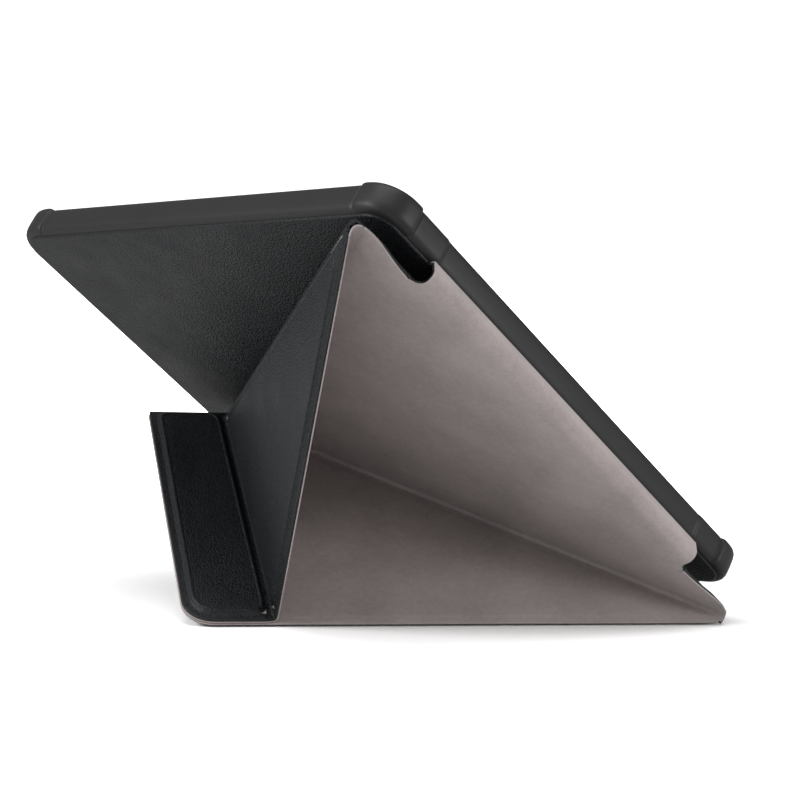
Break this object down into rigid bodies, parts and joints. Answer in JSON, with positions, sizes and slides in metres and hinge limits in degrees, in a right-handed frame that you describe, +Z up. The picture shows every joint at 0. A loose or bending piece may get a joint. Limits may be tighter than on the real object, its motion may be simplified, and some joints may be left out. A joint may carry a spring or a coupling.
{
  "type": "tablet case",
  "caption": "Tablet case: a soft gripping tray on a leather cover that folds along slanting creases into an upright stand, and opens out to close over the screen.",
  "frame": {"origin": "middle of the footprint, on the table that the stand rests on, with the case folded into its stand", "axes": "+Z up; +X along the hem that stands on the table, towards the lower end of the spine; the folded stand faces -Y and the tray's screen side faces up and back"},
  "size_m": [0.2654, 0.2612, 0.1621],
  "materials": {
    "tray_rubber": "satin dark grey moulded elastomer",
    "leather": "black fine-grained synthetic leather",
    "lining": "warm grey microfibre",
    "board": "grey board, hidden inside the panels",
    "magnet": "plated, hidden inside the panels"
  },
  "bodies": {
    "tray": {"tray_shell": "tray_rubber", "back_board": "board", "back_leather": "leather"},
    "spine_back": {"spine_back_leather": "leather", "spine_back_lining": "lining"},
    "spine_front": {"spine_front_leather": "leather", "spine_front_lining": "lining"},
    "rear": {"rear_panel_board": "board", "rear_panel_leather": "leather", "rear_panel_lining": "lining", "lower_crease": "leather", "upper_crease": "leather"},
    "base": {"base_panel_board": "board", "base_panel_leather": "leather", "base_panel_lining": "lining", "flap_crease": "leather", "base_magnet": "magnet", "wake_magnet": "magnet"},
    "prop": {"prop_panel_board": "board", "prop_panel_leather": "leather", "prop_panel_lining": "lining"},
    "flap": {"flap_panel_board": "board", "flap_panel_leather": "leather", "flap_panel_lining": "lining", "flap_magnet": "magnet"}
  },
  "joints": [
    {"name": "tray_hinge", "type": "hinge", "parent": "tray", "child": "spine_back", "pos_m": [0.04992, -0.08215, 0.085], "axis": [-0.7044, -0.3824, 0.5979], "range_deg": [0, 150.02]},
    {"name": "spine_bend", "type": "hinge", "parent": "spine_back", "child": "spine_front", "pos_m": [0.04898, -0.087, 0.08078], "axis": [-0.7044, -0.3824, 0.5979], "range_deg": [0, 60.02]},
    {"name": "cover_hinge", "type": "hinge", "parent": "spine_front", "child": "rear", "pos_m": [0.04459, -0.08636, 0.07602], "axis": [-0.7044, -0.3824, 0.5979], "range_deg": [0, 152.14]},
    {"name": "lower_fold", "type": "hinge", "parent": "rear", "child": "base", "pos_m": [-0.04734, 0.06808, 0.06649], "axis": [0.8214, -0.4867, -0.2976], "range_deg": [0, 120.24], "deforming": ["lower_crease"]},
    {"name": "upper_fold", "type": "hinge", "parent": "rear", "child": "prop", "pos_m": [-0.04734, 0.06808, 0.06649], "axis": [-0.0177, 0.9229, -0.3846], "range_deg": [0, 120.26], "deforming": ["upper_crease"]},
    {"name": "flap_fold", "type": "hinge", "parent": "prop", "child": "flap", "pos_m": [-0.04734, 0.06808, 0.06649], "axis": [0.0203, -0.853, -0.5216], "range_deg": [0, 89.61], "deforming": ["flap_crease"]}
  ],
  "couplings": [
    {"joint": "tray_hinge", "follows": "lower_fold", "ratio": 1.2475},
    {"joint": "spine_bend", "follows": "lower_fold", "ratio": 0.49902},
    {"joint": "cover_hinge", "follows": "lower_fold", "ratio": 1.2652},
    {"joint": "upper_fold", "follows": "lower_fold", "ratio": 1},
    {"joint": "flap_fold", "follows": "lower_fold", "ratio": 0.74514}
  ]
}
